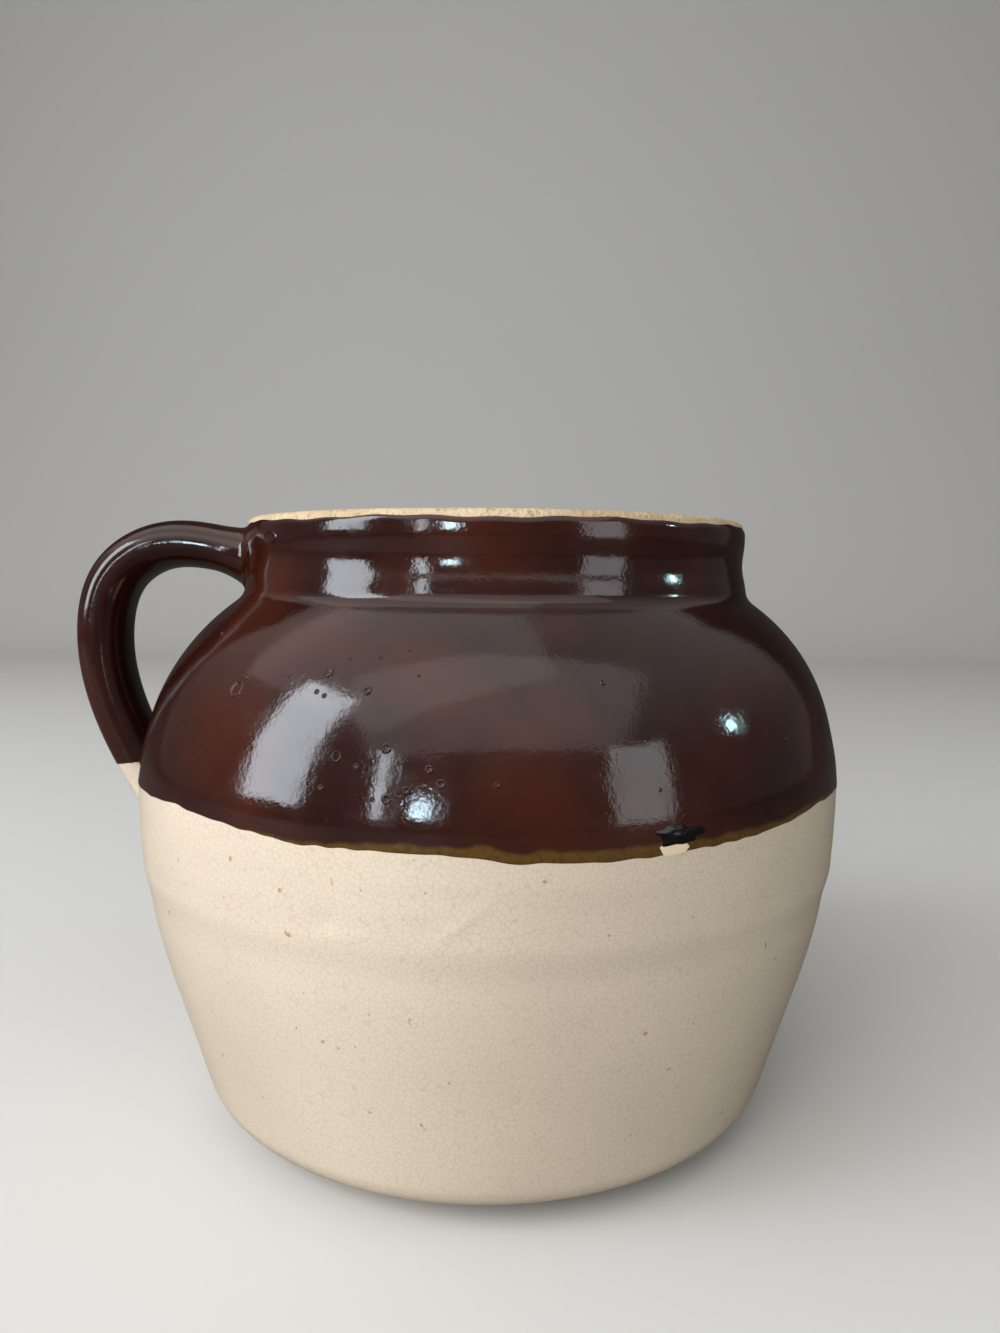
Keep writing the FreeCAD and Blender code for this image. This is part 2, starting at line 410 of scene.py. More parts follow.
def capped(grid):
    """Points and faces of a grid that closes one way, with a fan to the middle of either end."""
    rows, columns = grid.shape[:2]
    size = rows * columns
    ring = np.arange(columns)
    points = np.vstack([grid.reshape(-1, 3), grid[0].mean(0), grid[-1].mean(0)])
    ends = [fan(ring, size), fan(ring[::-1] + size - columns, size + 1)]
    return points, np.vstack([grid_faces(rows, columns, False, True)] + ends)


def mesh_piece(name, points, faces, fields=None):
    """A mesh object from points and quads, turned right side out, with point fields as attributes."""
    if signed_volume(points, faces) < 0:
        faces = faces[:, ::-1]
    listed = [list(dict.fromkeys(face)) for face in faces.tolist()]
    mesh = bpy.data.meshes.new(name)
    mesh.from_pydata(points.tolist(), [], listed)
    mesh.update()
    for field, values in (fields or {}).items():
        layer = mesh.attributes.new(field, "FLOAT", "POINT")
        layer.data.foreach_set("value", np.ascontiguousarray(values, dtype=np.float32))
    mesh.shade_smooth()
    mesh.set_sharp_from_angle(angle=SHARP_ANGLE)
    piece = bpy.data.objects.new(name, mesh)
    bpy.context.scene.collection.objects.link(piece)
    return piece


def finish_piece(piece, look, slot, *nodes):
    """Gives a piece its material and its body, and hides the imported nodes that it stands for. The slot
    is not used.
    """
    piece.data.materials.append(bpy.data.materials[look])
    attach(piece, "root")
    if nodes:
        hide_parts(*nodes)


def turned(name, path, s, close, columns=360):
    """A profile turned round the axis, closed by capped or by ringed."""
    return mesh_piece(name, *close(placed(full_turn(columns), path[:, :1], path[:, 1:], s)))


# Glaze coats


# The dip line round the pot: degrees from the front, and mm over its mean height
DIP_RISES = [
    (-180, 0.0), (-130, -1.0), (-88, -1.4), (-62, 2.0), (-47, 3.2), (-41, 2.7), (-36, 1.9), (-31, 1.3),
    (-24, 0.4), (-17, 0.6), (-8, 0.3), (0, -0.3), (3, -1.3), (10, -1.6), (18, -1.5), (28, -1.0),
    (36, -0.3), (41, 0.5), (48, 1.5), (56, 2.6), (66, 2.0), (88, -1.6), (130, 0.5), (180, 0.0),
]
# The amber band over it: degrees from the front and width in mm, and how softly it ends, in mm
AMBER_WIDTHS = [
    (-180, 0.4), (-60, 0.1), (-34, 0.3), (-22, 0.9), (-5, 2.3),
    (14, 2.9), (30, 2.2), (50, 1.4), (80, 0.5), (180, 0.4),
]
AMBER_FADE = 0.9
# Middle and half width of the roll over a coat's edge
ROLL_MIDDLE, ROLL_WIDTH = 1.3 * MM, 1.1 * MM
# The cream coat goes on this far under the brown one
UNDERLAP = 2 * MM


def ragged(angle, start, count, seed):
    """Small uneven steps round the pot: a sum of sines with falling height and random phases."""
    random = np.random.default_rng(seed)
    turns = start + np.arange(count) * 7
    phases = random.uniform(0, 2 * pi, count)
    shares = 1 / np.sqrt(1 + np.arange(count))
    waves = (share * np.sin(turn * angle + phase) for turn, phase, share in zip(turns, phases, shares))
    return sum(waves) / 2


def dip_line(angle, g):
    """Height of the brown coat's edge round the pot: the table above, smoothed, and small steps."""
    fine = np.linspace(-180, 180, 721)
    rise = np.interp(fine, *zip(*DIP_RISES))
    window = np.hanning(13)
    rise = np.convolve(np.concatenate([rise[-7:-1], rise, rise[1:7]]), window / window.sum(), "valid")
    steps = 0.22 * ragged(angle, 11, 16, 3)
    return g.dip_height + g.dip_wave * (np.interp(from_front(angle), fine, rise) + steps)


def amber_width(angle):
    """Width in mm of the amber band over the dip line: the table above, made ragged."""
    return np.interp(from_front(angle), *zip(*AMBER_WIDTHS)) * (1 + 0.18 * ragged(angle, 23, 12, 5))


def rounded(inward, fade):
    """Share of a coat's thickness at a distance from its edge: a quarter circle within the fade."""
    return np.sqrt(1 - (1 - np.clip(inward / fade, 0, 1)) ** 2)


def coat_ring(name, s, low, high, coat, roll, rows, fade):
    """A thin closed coat between rows of lower and upper heights: the wall's path moved out by the
    thickness, and back inside the clay. The thickness is the coat and a bell curve near the lower
    edge, rounded off at both edges. The field thin is 1 in the amber band."""
    wall = Wall(s)
    angle = full_turn(low.shape[1])
    start, end = wall.reach(low), wall.reach(high)
    at = start + (end - start) * np.linspace(0, 1, rows)[:, None] ** 1.25
    thickness = coat + roll * bell(at - start, ROLL_MIDDLE, ROLL_WIDTH)
    lift = thickness * rounded(at - start, fade) * rounded(end - at, fade)
    back = at[::-6]
    at = np.vstack([at, back])
    lift = np.vstack([lift, np.full_like(back, -SUNK)])
    thin = np.clip((amber_width(angle) - (at - start) / MM) / AMBER_FADE + 0.5, 0, 1)
    grid = placed(angle, *wall.raised(at, lift), s)
    return mesh_piece(name, *ringed(grid), {"thin": thin.ravel()})


# Marks in the glaze: degrees from the front, height and radius in mm
CRATERS = [
    (-23.7, 133.9, 1.43), (-16.9, 130.6, 1.23), (-16.5, 137.5, 0.65), (-12.3, 139.2, 0.45),
    (-10.1, 134.1, 0.45), (-30.4, 132.8, 0.65), (-24.6, 129.9, 0.78), (-23.2, 129.2, 0.78),
    (-38.7, 131.7, 0.78), (-32.9, 117.4, 0.78), (-39.2, 121.5, 0.39), (-42.8, 114.2, 0.39),
    (-16.3, 115.3, 0.85), (-12.7, 119.3, 1.43), (-11.9, 109.0, 1.30), (-13.7, 108.8, 0.72),
    (-9.6, 111.0, 1.10), (-7.0, 115.4, 1.17), (-5.4, 112.5, 1.30), (-20.7, 110.4, 0.85),
    (15.6, 132.8, 0.78), (22.2, 110.3, 0.59), (1.4, 112.5, 0.78), (-14.9, 155.7, 1.10),
    (-35.2, 168.2, 0.78), (46.9, 117.6, 0.65), (-21.2, 137.0, 0.45), (-55.0, 140.5, 0.52),
]
PINHOLES = [(front, level, 0.3 * radius) for front, level, radius in CRATERS if radius > 0.45]
RINGS = [(-39.7, 128.9, 2.2), (-19.2, 117.0, 1.3)]
COLLAR_RING = (-52.8, 165.7, 1.6)
CHIP = (24.0, 97.6, 1.5)
BLISTER = (24.7, 100.5, 2.2)
# A mark's innermost ring as a share of its radius, and its underside's depth in mm and its rings
MARK_MIDDLE, MARK_DEPTH, MARK_RINGS = 0.04, 0.3, 4


def crater(x):
    """Height in mm over the glaze at a share of a crater's radius: a ring, sunk at the border."""
    return 0.24 * bell(x, 0.6, 0.19) - 0.07 * x**4


def pinhole(x):
    """Height in mm over the glaze of the pit in a crater: a low dome, coloured near black as painted shade
    of the pit.
    """
    return 0.10 * (1 - x**2) - 0.03


def faint_ring(x):
    """Height in mm over the glaze of a healed bubble: a low narrow ring."""
    return 0.19 * bell(x, 0.82, 0.10) - 0.05 * x**6


def chip_face(x):
    """Height in mm over the glaze of a chip's nearly flat face."""
    return 0.12 - 0.10 * x**4


def blister(x):
    """Height in mm over the glaze of a burst blister: a low swelling with an uneven crown."""
    return 0.17 * (1 - x**2) + 0.04 * np.cos(9 * x) * (1 - x) - 0.05


def marks_piece(name, marks, shape, s, coat, proud=0.0, stretch=1.0, uneven=0.0, columns=40, rows=16):
    """One mesh of round marks that lie on the coated pot: discs whose height over the glaze is the
    shape times the root of their radius, closed by a flat underside in the glaze. Proud lifts them,
    stretch makes them wider than tall, and uneven is the share of the sines in their border."""
    wall = Wall(s)
    turn = full_turn(columns)
    share = np.concatenate([np.linspace(MARK_MIDDLE, 1, rows), np.linspace(1, MARK_MIDDLE, MARK_RINGS)])
    height = np.concatenate([shape(share[:rows]), np.full(MARK_RINGS, -MARK_DEPTH)])[:, None] * MM
    waves = 0.5 * np.sin(3 * turn + 1) + 0.35 * np.sin(5 * turn) + 0.25 * np.sin(9 * turn + 2)
    border = share[:, None] * (1 + uneven * waves)
    points, faces = [], []
    for count, (front, level, radius) in enumerate(marks):
        middle = wall.reach(level * MM)
        around_axis = np.interp(middle, wall.far, wall.path[:, 0])
        up = middle + radius * MM * border * np.sin(turn)
        angle = radians(front - 90) + radius * MM * stretch * border * np.cos(turn) / around_axis
        lift = coat + proud + height * np.sqrt(radius) + 0 * turn
        corners, quads = capped(placed(angle, *wall.raised(up, lift), s))
        points.append(corners)
        faces.append(quads + count * len(corners))
    return mesh_piece(name, np.vstack(points), np.vstack(faces))


CHIP_FORM = {"stretch": 2.6, "uneven": 0.1, "rows": 12}
BLISTER_FORM = {"proud": 0.15 * MM, "stretch": 2.6, "uneven": 0.3, "columns": 60, "rows": 14}
# Pieces of marks: name, marks, shape, material, slot, and how they differ from plain discs
MARK_PIECES = [
    ("glaze_craters", CRATERS, crater, "BrownGlaze", "brown_glaze", {}),
    ("glaze_rings", RINGS, faint_ring, "BrownGlaze", "brown_glaze", {"rows": 30}),
    ("collar_ring", [COLLAR_RING], faint_ring, "BrownGlaze", "brown_glaze", {"stretch": 2.5, "rows": 30}),
    # The pinholes and the blister below are near black: painted shade of their pits
    ("glaze_pinholes", PINHOLES, pinhole, "PitPaintedShade", "brown_glaze", {"columns": 20, "rows": 5}),
    ("edge_chip", [CHIP], chip_face, "ChippedEdge", "cream_glaze", CHIP_FORM),
    ("edge_blister", [BLISTER], blister, "PitPaintedShade", "brown_glaze", BLISTER_FORM),
]


# Strap handle


# Shares of the strap's length: the end of the collar's flare, the start of the belly's, and the
# crest's middle and half width. Then the crest's swell
ROOT_END, TAIL_START, CREST, CREST_WIDTH, CREST_SWELL = 0.13, 0.8, 0.38, 0.2, 0.5 * MM
# Power of the oval's sine and cosine: under 1 it is a little squared
SQUARING = 0.92
# Points round the strap, and points of its middle line for its surface and for distances
STRAP_COLUMNS, LINE_STEPS, COARSE_STEPS = 96, 400, 160
# The strap is pushed out from this far inside the pot, up to this far, and stays this far under the
# lip's top
PUSH_FROM, PUSH_LIMIT, LIP_CLEARANCE = -0.8 * MM, 2.2 * MM, 2.3 * MM
# Slip patches: points across and up, how far their edge is sunk, and the depth of their underside
PATCH_COLUMNS, PATCH_ROWS, PATCH_EDGE, PATCH_DEPTH = 120, 150, 0.12 * MM, 0.45 * MM
# How many degrees round the pot they reach to either side
ROOT_TURN, TAIL_TURN = 26, 16


def smooth_path(points, shares):
    """The natural cubic spline through the points, spaced by their chords, at shares of its length."""
    points = np.array(points)
    knot = distances(points)
    n = len(points)
    h = np.diff(knot)
    system = np.eye(n)
    right = np.zeros_like(points)
    for i in range(1, n - 1):
        system[i, i - 1 : i + 2] = h[i - 1], 2 * (h[i - 1] + h[i]), h[i]
        right[i] = 6 * ((points[i + 1] - points[i]) / h[i] - (points[i] - points[i - 1]) / h[i - 1])
    bend = np.linalg.solve(system, right)
    fine = np.linspace(0, knot[-1], 600)
    i = np.clip(np.searchsorted(knot, fine) - 1, 0, n - 2)
    a = ((knot[i + 1] - fine) / h[i])[:, None]
    b = 1 - a
    step = h[i][:, None] ** 2 / 6
    curve = a * points[i] + b * points[i + 1] + ((a**3 - a) * bend[i] + (b**3 - b) * bend[i + 1]) * step
    d = distances(curve)
    at = shares * d[-1]
    return np.stack([np.interp(at, d, curve[:, k]) for k in range(2)], axis=-1)


def strap_line(s, count):
    """Points (x, height) of the strap's middle line at even steps, and its directions there: a smooth
    path through places measured from the collar, the girth and the lip's top."""
    collar, girth = -s.collar_radius, -s.girth_radius
    crest = s.rim_height - 7.6 * MM
    bend = s.rim_height - 16 * MM
    low_bend = s.girth_height + 17 * MM
    places = [
        (collar + 4 * MM, s.rim_height - 11.8 * MM),
        (collar - 13.4 * MM, crest),
        (collar - 26.8 * MM, crest),
        (collar - 40.4 * MM, bend),
        (girth - 17.3 * MM, (bend + low_bend) / 2),
        (girth - 12.4 * MM, low_bend),
        (girth - 2.6 * MM, s.girth_height - 2.5 * MM),
        (girth + 4.5 * MM, s.girth_height - 14 * MM),
    ]
    middle = smooth_path(places, np.linspace(0, 1, count))
    return middle, directions(middle)


def strap_halves(share, h, coat):
    """Half thickness and half width at a share of the strap's length: both grow as squares towards
    the collar, the thickness also towards the belly, with a low swell at the crest."""
    root = np.clip(1 - share / ROOT_END, 0, 1) ** 2
    tail = np.clip((share - TAIL_START) / (1 - TAIL_START), 0, 1) ** 2
    growth = h.root_flare * root + h.tail_flare * tail + CREST_SWELL * bell(share, CREST, CREST_WIDTH)
    return h.thickness / 2 + growth + coat, h.width / 2 + h.root_widening * root + coat


def strap_points(share, turn, s, h, coat):
    """Points of the strap's surface: an oval about the middle line, a little squared, at a share of
    the length and an angle of turn."""
    middle, ahead = strap_line(s, LINE_STEPS)
    at = share * (LINE_STEPS - 1)
    x, z, ax, az = (np.interp(at, np.arange(LINE_STEPS), line) for line in (*middle.T, *ahead.T))
    half_t, half_w = strap_halves(share, h, coat)
    ct = np.cos(turn)
    st = np.sin(turn)
    across = half_t * np.sign(ct) * np.abs(ct) ** SQUARING
    side = half_w * np.sign(st) * np.abs(st) ** SQUARING
    return np.stack([x - az * across + lean_at(z, s), side, z + ax * across], axis=-1)


def strap_distance(points, s, h, coat):
    """Distance of points from the strap, negative inside: an oval's distance in the plane square to
    the nearest place of its middle line, or the distance past either end where that is more."""
    middle, ahead = strap_line(s, COARSE_STEPS)
    flat = points.reshape(-1, 3)
    x = flat[:, 0] - lean_at(flat[:, 2], s)
    dx = x[:, None] - middle[None, :, 0]
    dz = flat[:, 2][:, None] - middle[None, :, 1]
    nearest = np.argmin(dx**2 + dz**2, axis=1)
    pick = np.arange(len(flat)), nearest
    across = -dx[pick] * ahead[nearest, 1] + dz[pick] * ahead[nearest, 0]
    beyond = dx[pick] * ahead[nearest, 0] + dz[pick] * ahead[nearest, 1]
    half_t, half_w = strap_halves(nearest / (COARSE_STEPS - 1), h, coat)
    k0 = np.hypot(across / half_t, flat[:, 1] / half_w)
    k1 = np.hypot(across / half_t**2, flat[:, 1] / half_w**2) + 1e-9
    oval = k0 * (k0 - 1) / k1
    ended = np.where((nearest == 0) | (nearest == COARSE_STEPS - 1), np.abs(beyond), 0)
    return np.maximum(oval, ended).reshape(points.shape[:-1])


def pot_distance(points, s, coat):
    """Distance of points from the coated outside of the pot, negative inside: the radius past the
    wall's at that height, times the normal's share along it, or the height past the lip's top."""
    path = outside(s)
    path = path[path[:, 1] <= s.rim_height - s.lip_rounding]
    z = points[..., 2]
    x = points[..., 0] - lean_at(z, s)
    radius = np.interp(z, path[:, 1], path[:, 0])
    facing = np.interp(z, path[:, 1], normals(path)[:, 0])
    angle = np.arctan2(points[..., 1], x)
    beside = (np.hypot(x, points[..., 1]) - radius - wobble(angle, z)) * facing - coat
    return np.maximum(beside, z - s.rim_height)


def blended(a, b, reach):
    """Smooth minimum of two distances: near where they are equal it drops under both, which makes
    the hollow fillet of smeared slip."""
    overlap = np.clip(reach - np.abs(a - b), 0, None) / reach
    return np.minimum(a, b) - overlap**2 * reach / 4


def push(points, way, s, h, coat, limit):
    """How far points move their way until they lie on the blend of pot and strap: each of the steps
    goes most of the distance that is left."""
    moved = np.zeros(points.shape[:-1])
    for _ in range(14):
        now = points + way * moved[..., None]
        field = blended(pot_distance(now, s, coat), strap_distance(now, s, h, coat), h.slip)
        moved = np.clip(moved - 0.8 * field, 0, limit)
    return moved[..., None]


def strap_shell(name, s, h, coat, low, high, rows=150, solid=False):
    """The strap's surface between two shares of its length, closed by a shrunken copy inside it, or
    by two ends. At the pot it is pushed out to the blend of both, and it stays under the lip."""
    turn = full_turn(STRAP_COLUMNS)
    share = low + (high - low) * np.linspace(0, 1, rows)[:, None] + 0 * turn
    surface = strap_points(share, turn, s, h, coat)
    way = (strap_points(share, turn, s, h, coat + 1 * MM) - surface) / MM
    away = pot_distance(surface, s, coat)
    pushed = surface + way * push(surface, way, s, h, coat, PUSH_LIMIT)
    surface = np.where((away > PUSH_FROM)[..., None], pushed, surface)
    ceiling = s.rim_height - LIP_CLEARANCE + np.clip(away - 1 * MM, 0, None)
    surface[..., 2] = np.minimum(surface[..., 2], ceiling)
    if solid:
        return mesh_piece(name, *capped(surface))
    inner = strap_points(share[::-3], turn, s, h, -SUNK)
    return mesh_piece(name, *ringed(np.concatenate([surface, inner])))


def dip_share(s, h):
    """Shares of the strap's length at which its surface passes the dip line, a little wavy, for each
    of its columns."""
    turn = full_turn(STRAP_COLUMNS)
    shares = np.linspace(0.55, 1, 200)[:, None]
    heights = strap_points(shares, turn, s, h, 0.0)[..., 2] + 0.6 * MM * np.sin(2 * turn + 1)
    passed = np.argmax(heights < h.dip_height, axis=0)
    return shares[passed, 0][None, :]


def slip_patch(name, s, h, coat, half_turn, low, high):
    """Slip smeared over the pot's surface round a root: each point of the surface rises to the blend
    of pot and strap, and the patch's edge is sunk into the coat."""
    angle = (pi + np.radians(np.linspace(-half_turn, half_turn, PATCH_COLUMNS)))[None, :]
    z = np.linspace(low, high, PATCH_ROWS)[:, None]
    wall = Wall(s)
    r, nr, nz = (np.interp(z, wall.rising, line) for line in (wall.path[:, 0], *wall.out.T))
    base = placed(angle, r + coat * nr, z + coat * nz, s)
    way = np.stack([nr * np.cos(angle), nr * np.sin(angle), nz + 0 * angle], axis=-1)
    top = base + way * (push(base, way, s, h, coat, 0.45 * h.slip) - PATCH_EDGE)
    under = base - way * PATCH_DEPTH
    size = PATCH_ROWS * PATCH_COLUMNS
    upper = grid_faces(PATCH_ROWS, PATCH_COLUMNS, False, False)
    lower = upper[:, ::-1] + size
    number = np.arange(size).reshape(PATCH_ROWS, PATCH_COLUMNS)
    ring = np.concatenate([number[0], number[1:, -1], number[-1, -2::-1], number[-2:0:-1, 0]])
    onward = np.roll(ring, -1)
    skirt = np.stack([onward, ring, ring + size, onward + size], axis=-1)
    points = np.vstack([top.reshape(-1, 3), under.reshape(-1, 3)])
    return mesh_piece(name, points, np.vstack([upper, lower, skirt]))


# Materials


def feed(tree, socket, value):
    """Links a socket to an input, or writes a number or a colour into it."""
    if isinstance(value, bpy.types.NodeSocket):
        tree.links.new(value, socket)
    elif socket.type == "RGBA":
        socket.default_value = (*value[:3], 1.0)
    else:
        socket.default_value = value


def feed_all(tree, node, values):
    """Feeds a node's inputs by their names."""
    for label, value in values.items():
        feed(tree, node.inputs[label], value)


def math_node(tree, operation, first, second, clamp=False):
    """A Math node fed by sockets or numbers."""
    node = tree.nodes.new("ShaderNodeMath")
    node.operation = operation
    node.use_clamp = clamp
    feed(tree, node.inputs[0], first)
    feed(tree, node.inputs[1], second)
    return node.outputs[0]


def noise_node(tree, vector, scale, detail=3.0, roughness=0.55):
    """Noise of a scale in cells a metre."""
    node = tree.nodes.new("ShaderNodeTexNoise")
    feed_all(tree, node, {"Vector": vector, "Scale": scale, "Detail": detail, "Roughness": roughness})
    return node.outputs["Fac"]


def range_node(tree, value, low, high, to_low=0.0, to_high=1.0):
    """Maps a value from one range to another, smoothly and held at the ends."""
    node = tree.nodes.new("ShaderNodeMapRange")
    node.interpolation_type = "SMOOTHSTEP"
    ends = {"From Min": low, "From Max": high, "To Min": to_low, "To Max": to_high}
    feed_all(tree, node, {"Value": value, **ends})
    return node.outputs["Result"]


def mix_node(tree, factor, first, second):
    """Mixes two colours, each a socket or a colour value."""
    node = tree.nodes.new("ShaderNodeMix")
    node.data_type = "RGBA"
    for socket, value in zip((node.inputs[0], node.inputs[6], node.inputs[7]), (factor, first, second)):
        feed(tree, socket, value)
    return node.outputs[2]


def tinted(tree, colour, tint, mask, share):
    """A colour mixed with a tint by a mask times a share."""
    return mix_node(tree, math_node(tree, "MULTIPLY", mask, share), colour, tint)


def new_group(name, numbers, result):
    """An empty shader group with its inputs, a vector and named numbers, and its one result."""
    group = bpy.data.node_groups.new(name, "ShaderNodeTree")
    group.interface.new_socket(name="Vector", in_out="INPUT", socket_type="NodeSocketVector")
    for label, default in numbers.items():
        socket = group.interface.new_socket(name=label, in_out="INPUT", socket_type="NodeSocketFloat")
        socket.default_value = default
    group.interface.new_socket(name=result, in_out="OUTPUT", socket_type="NodeSocketFloat")
    return group, group.nodes.new("NodeGroupInput").outputs, group.nodes.new("NodeGroupOutput").inputs[0]


def skin_group():
    """Orange-peel skin of a glaze: a fine and a slow noise as one height."""
    group, given, result = new_group("GlazeSkin", {"Peel": 0.5, "Flow": 0.5}, "Height")
    peel = noise_node(group, given["Vector"], 900.0, 2.0)
    flow = noise_node(group, given["Vector"], 95.0, 1.0)
    fine = math_node(group, "MULTIPLY", peel, given["Peel"])
    slow = math_node(group, "MULTIPLY", flow, given["Flow"])
    feed(group, result, math_node(group, "ADD", fine, slow))
    return group


def specks_group():
    """Small dark or pale grains: the tips of a fine noise, cut sharp."""
    group, given, result = new_group("Specks", {"Scale": 500.0, "Amount": 0.3}, "Mask")
    grain = noise_node(group, given["Vector"], given["Scale"], 1.0, 0.4)
    limit = math_node(group, "SUBTRACT", 0.78, math_node(group, "MULTIPLY", given["Amount"], 0.2))
    over = math_node(group, "SUBTRACT", grain, limit)
    feed(group, result, math_node(group, "MULTIPLY", over, 22.0, clamp=True))
    return group


def crazing_group():
    """Net of fine cracks: the narrow borders of warped cells."""
    group, given, result = new_group("Crazing", {"Scale": 480.0, "Width": 0.06}, "Mask")
    warp = group.nodes.new("ShaderNodeTexNoise")
    feed_all(group, warp, {"Scale": 260.0, "Vector": given["Vector"]})
    bend = group.nodes.new("ShaderNodeVectorMath")
    bend.operation = "MULTIPLY_ADD"
    bend.inputs[1].default_value = (0.0016, 0.0016, 0.0016)
    feed(group, bend.inputs[0], warp.outputs["Color"])
    feed(group, bend.inputs[2], given["Vector"])
    cells = group.nodes.new("ShaderNodeTexVoronoi")
    cells.feature = "DISTANCE_TO_EDGE"
    feed_all(group, cells, {"Vector": bend.outputs[0], "Scale": given["Scale"]})
    near = math_node(group, "DIVIDE", cells.outputs["Distance"], given["Width"])
    feed(group, result, math_node(group, "SUBTRACT", 1.0, near, clamp=True))
    return group


def use_group(tree, group, vector, **values):
    """A group placed in a material, fed with a vector and its own numbers."""
    node = tree.nodes.new("ShaderNodeGroup")
    node.node_tree = group
    feed_all(tree, node, {"Vector": vector, **values})
    return node.outputs[0]


def new_material(name):
    """The node tree of a new material, its Principled BSDF, and object coordinates."""
    material = bpy.data.materials.new(name)
    material.use_nodes = True
    tree = material.node_tree
    return tree, tree.nodes["Principled BSDF"], tree.nodes.new("ShaderNodeTexCoord").outputs["Object"]


def bump_node(tree, height, distance, strength):
    """Turns a height into a normal."""
    bump = tree.nodes.new("ShaderNodeBump")
    feed_all(tree, bump, {"Distance": distance, "Strength": strength, "Height": height})
    return bump.outputs["Normal"]


def brown_material(name, colours, groups, edge=False):
    """Glossy brown glaze: two browns in slow patches, a few grains, and amber at a thin edge."""
    tree, shader, place = new_material(name)
    patch = range_node(tree, noise_node(tree, place, 26.0), 0.35, 0.7)
    colour = mix_node(tree, patch, colours.brown_deep, colours.brown_warm)
    grains = use_group(tree, groups["specks"], place, Scale=620.0, Amount=0.25)
    colour = tinted(tree, colour, colours.amber, grains, 0.12)
    if edge:
        band = tree.nodes.new("ShaderNodeAttribute")
        band.attribute_name = "thin"
        mottled = range_node(tree, noise_node(tree, place, 700.0), 0.25, 0.65, 0.55, 1.0)
        colour = tinted(tree, colour, colours.amber, band.outputs["Fac"], mottled)
    skin = use_group(tree, groups["skin"], place, Peel=0.22, Flow=0.9)
    looks = {
        "Base Color": colour,
        "Roughness": range_node(tree, noise_node(tree, place, 140.0), 0.3, 0.75, 0.07, 0.16),
        "IOR": 1.55,
        "Coat Weight": 0.35,
        "Coat Roughness": 0.06,
        "Normal": bump_node(tree, skin, 0.3 * MM, 0.6),
    }
    feed_all(tree, shader, looks)


def cream_material(name, colours, groups):
    """Satin cream glaze: warm and greyer patches, a net of fine cracks, and brown specks."""
    tree, shader, place = new_material(name)
    patch = range_node(tree, noise_node(tree, place, 12.0, 2.0), 0.25, 0.8)
    colour = mix_node(tree, patch, colours.cream, colours.cream_shade)
    cracks = use_group(tree, groups["crazing"], place, Scale=720.0, Width=0.09)
    colour = tinted(tree, colour, colours.craze, cracks, 0.30)
    specks = use_group(tree, groups["specks"], place, Scale=420.0, Amount=0.12)
    colour = tinted(tree, colour, colours.clay_dark, specks, 0.8)
    skin = use_group(tree, groups["skin"], place, Peel=0.3, Flow=0.35)
    normal = bump_node(tree, skin, 0.3 * MM, 0.28)
    feed_all(tree, shader, {"Base Color": colour, "Roughness": 0.3, "IOR": 1.5, "Normal": normal})


def clay_material(name, colours, groups):
    """Bare fired clay: sandy, rough and speckled."""
    tree, shader, place = new_material(name)
    patch = range_node(tree, noise_node(tree, place, 90.0, 5.0, 0.7), 0.3, 0.7)
    colour = tinted(tree, colours.clay, colours.clay_dark, patch, 0.5)
    grains = use_group(tree, groups["specks"], place, Scale=900.0, Amount=0.9)
    colour = tinted(tree, colour, colours.clay_dark, grains, 0.6)
    skin = use_group(tree, groups["skin"], place, Peel=1.0, Flow=0.4)
    normal = bump_node(tree, skin, 0.6 * MM, 0.9)
    feed_all(tree, shader, {"Base Color": colour, "Roughness": 0.85, "Normal": normal})


def plain_material(name, colour, roughness):
    """A material of one colour."""
    tree, shader, _ = new_material(name)
    feed_all(tree, shader, {"Base Color": colour, "Roughness": roughness})


def settings(context):
    """The sizes of the clay, the glazes and the strap, after the materials are made once."""
    scene = context.scene
    colours = scene.pot_colours
    if "BrownGlaze" not in bpy.data.materials:
        groups = {"skin": skin_group(), "specks": specks_group(), "crazing": crazing_group()}
        brown_material("BrownGlaze", colours, groups)
        brown_material("BrownGlazeEdge", colours, groups, edge=True)
        cream_material("CreamGlaze", colours, groups)
        clay_material("BareClay", colours, groups)
        # Near-black colour of the pinholes and the burst blister: painted shade of their pits
        plain_material("PitPaintedShade", (0.004, 0.002, 0.002), 0.2)
        plain_material("ChippedEdge", (0.66, 0.53, 0.36), 0.6)
    return scene.pot_sizes, scene.glaze_sizes, scene.strap_sizes


# Operators


class POT_OT_clay(bpy.types.Operator):
    """Makes the two clay halves, with the flat foot and the rounded bare lip"""

    bl_idname = "pot.clay"
    bl_label = "Clay halves"

    def execute(self, context):
        s, _, _ = settings(context)
        outer = outside(s)
        inner = inside(s)
        foot = np.linspace((AXIS_GAP, 0), (s.foot_radius, 0), 30)[:-1]
        low_out = thinned(between(outer, 0, s.seam_height), 90)
        low_in = thinned(between(inner, 0, s.seam_height), 70)
        bowl = turned("lower_clay", np.vstack([foot, low_out, low_in[::-1]]), s, capped)
        finish_piece(bowl, "BareClay", "bare_clay", "lower_body")
        lip_start = s.rim_height - 3 * MM
        high_out = between(outer, s.seam_height, lip_start)
        lip = outer[outer[:, 1] > lip_start]
        high_in = between(inner, s.seam_height, s.rim_height - MOUTH_CORNER)
        ring = np.vstack([thinned(high_out, 80), thinned(lip, 34), thinned(high_in, 70)[::-1]])
        upper = turned("upper_clay", ring, s, ringed)
        finish_piece(upper, "BareClay", "bare_clay", "upper_body")
        return {"FINISHED"}


